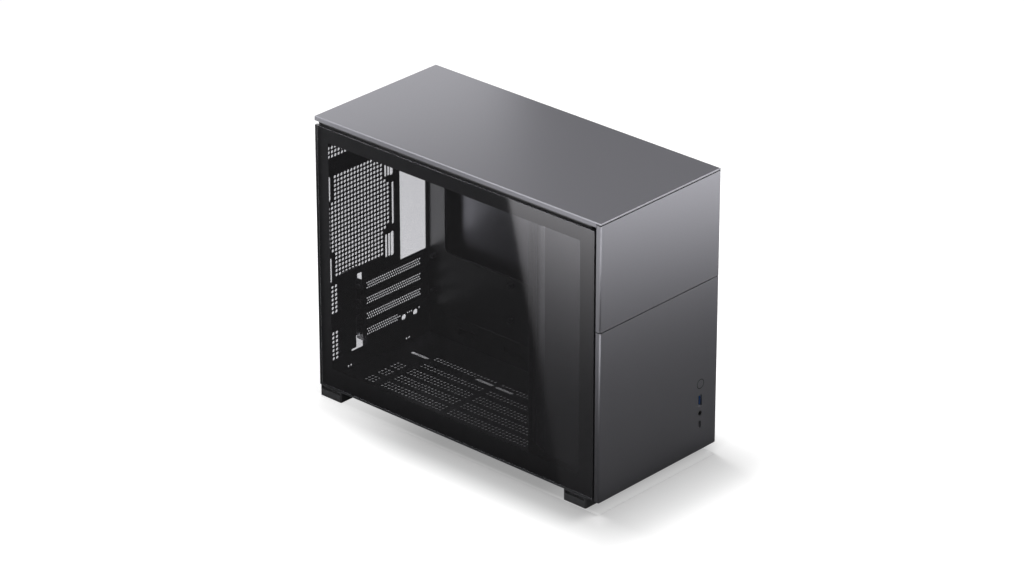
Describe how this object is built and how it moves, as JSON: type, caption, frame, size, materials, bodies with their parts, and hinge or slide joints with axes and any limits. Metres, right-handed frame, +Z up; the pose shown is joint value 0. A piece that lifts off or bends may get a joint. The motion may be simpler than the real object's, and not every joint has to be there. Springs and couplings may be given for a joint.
{
  "type": "mini tower pc case",
  "caption": "Mini tower computer case with a glass side, steel chassis, flat top and split front covers, vented rear wall and floor, slot covers and corner feet.",
  "frame": {"origin": "middle of the case's overall depth and width, on the surface it stands on", "axes": "+X towards the steel side panel, -X towards the glass, -Y out of the front, +Z up"},
  "size_m": [0.204, 0.45, 0.3625],
  "materials": {
    "cover_paint": "satin dark grey with a fine grain",
    "chassis_paint": "fine black powder coat",
    "side_glass": "polished, lightly tinted, with a black printed border",
    "filter_mesh": "pale woven screen in a moulded frame",
    "screw_steel": "zinc plated",
    "standoff_steel": "black oxide, turned",
    "catch_plastic": "moulded, matt",
    "foot_plastic": "moulded, matt",
    "pad_rubber": "matt",
    "board_laminate": "solder mask",
    "socket_plastic": "moulded, smooth",
    "socket_steel": "plated",
    "tongue_blue": "moulded, smooth",
    "pin_brass": "plated"
  },
  "bodies": {
    "chassis": {"floor_pan": "chassis_paint", "top_frame": "chassis_paint", "front_plate": "chassis_paint", "rear_wall": "chassis_paint", "motherboard_tray": "chassis_paint", "chamber_wall": "chassis_paint", "chamber_plate": "chassis_paint", "supply_bracket": "chassis_paint", "drive_bracket_lower": "chassis_paint", "drive_bracket_upper": "chassis_paint", "bottom_filter": "filter_mesh", "slot_cover_1": "chassis_paint", "slot_cover_2": "chassis_paint", "slot_cover_3": "chassis_paint", "slot_cover_4": "chassis_paint", "slot_screws": "screw_steel", "slot_guard": "chassis_paint", "guard_screws": "screw_steel", "standoffs": "standoff_steel", "glass_catches": "catch_plastic", "right_catches": "catch_plastic", "top_catches": "catch_plastic", "front_catches": "catch_plastic", "foot_front_left": "foot_plastic", "foot_front_right": "foot_plastic", "foot_rear_left": "foot_plastic", "foot_rear_right": "foot_plastic", "foot_pads": "pad_rubber", "io_bracket": "catch_plastic", "io_board": "board_laminate", "power_switch": "socket_plastic", "usb_a_shell": "socket_steel", "usb_a_tongue": "tongue_blue", "usb_c_shell": "socket_steel", "audio_jack": "socket_plastic", "ac_inlet": "socket_plastic", "inlet_pins": "pin_brass", "inlet_screws": "screw_steel"},
    "glass_side": {"glass_panel": "side_glass", "glass_rail_top": "chassis_paint", "glass_rail_bottom": "chassis_paint"},
    "right_side": {"right_panel": "cover_paint"},
    "top": {"top_cover": "cover_paint"},
    "front_upper": {"front_cover_upper": "cover_paint"},
    "front_lower": {"front_cover_lower": "cover_paint"},
    "button": {"power_button": "cover_paint"}
  },
  "joints": [
    {"name": "glass_panel_pull", "type": "slide", "parent": "chassis", "child": "glass_side", "axis": [-1, 0, 0], "range_m": [0, 0.05]},
    {"name": "right_panel_pull", "type": "slide", "parent": "chassis", "child": "right_side", "axis": [1, 0, 0], "range_m": [0, 0.05]},
    {"name": "top_cover_lift", "type": "slide", "parent": "chassis", "child": "top", "axis": [0, 0, 1], "range_m": [0, 0.05]},
    {"name": "front_upper_pull", "type": "slide", "parent": "chassis", "child": "front_upper", "axis": [0, -1, 0], "range_m": [0, 0.05]},
    {"name": "front_lower_pull", "type": "slide", "parent": "chassis", "child": "front_lower", "axis": [0, -1, 0], "range_m": [0, 0.05]},
    {"name": "power_button_press", "type": "slide", "parent": "front_lower", "child": "button", "axis": [0, 1, 0], "range_m": [0, 0.0012], "stiffness_N_per_m": 600}
  ]
}
